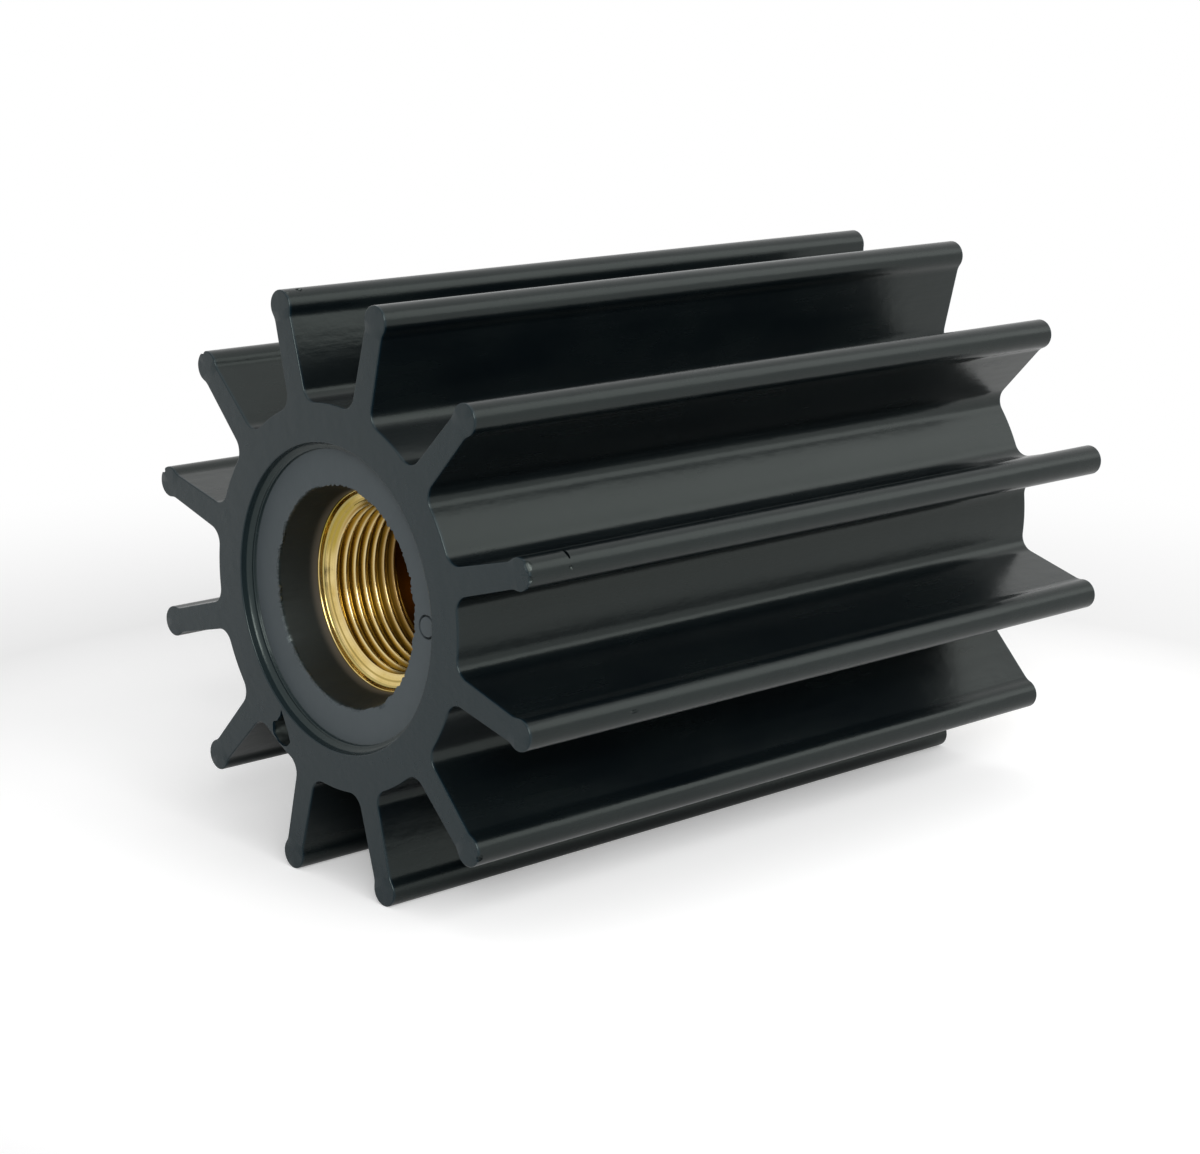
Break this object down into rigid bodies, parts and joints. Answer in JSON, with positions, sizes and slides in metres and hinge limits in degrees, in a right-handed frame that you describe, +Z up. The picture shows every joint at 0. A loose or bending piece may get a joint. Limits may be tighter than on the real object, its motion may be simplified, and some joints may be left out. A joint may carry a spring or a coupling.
{
  "type": "pump impeller",
  "caption": "Flexible pump impeller: rubber hub with straight bead-tipped vanes, bonded round a brass bush that has a puller thread and a keyed shaft bore.",
  "frame": {"origin": "middle of the impeller, on its axis and midway between its end faces", "axes": "+Y along the axis from the threaded front face to the back face; +Z up, with the impeller lying on two vane tips"},
  "size_m": [0.0968, 0.134, 0.0968],
  "materials": {
    "rubber": "satin moulded",
    "brass": "turned"
  },
  "bodies": {
    "root": {"vane_body": "rubber", "brass_bush": "brass"}
  },
  "joints": []
}
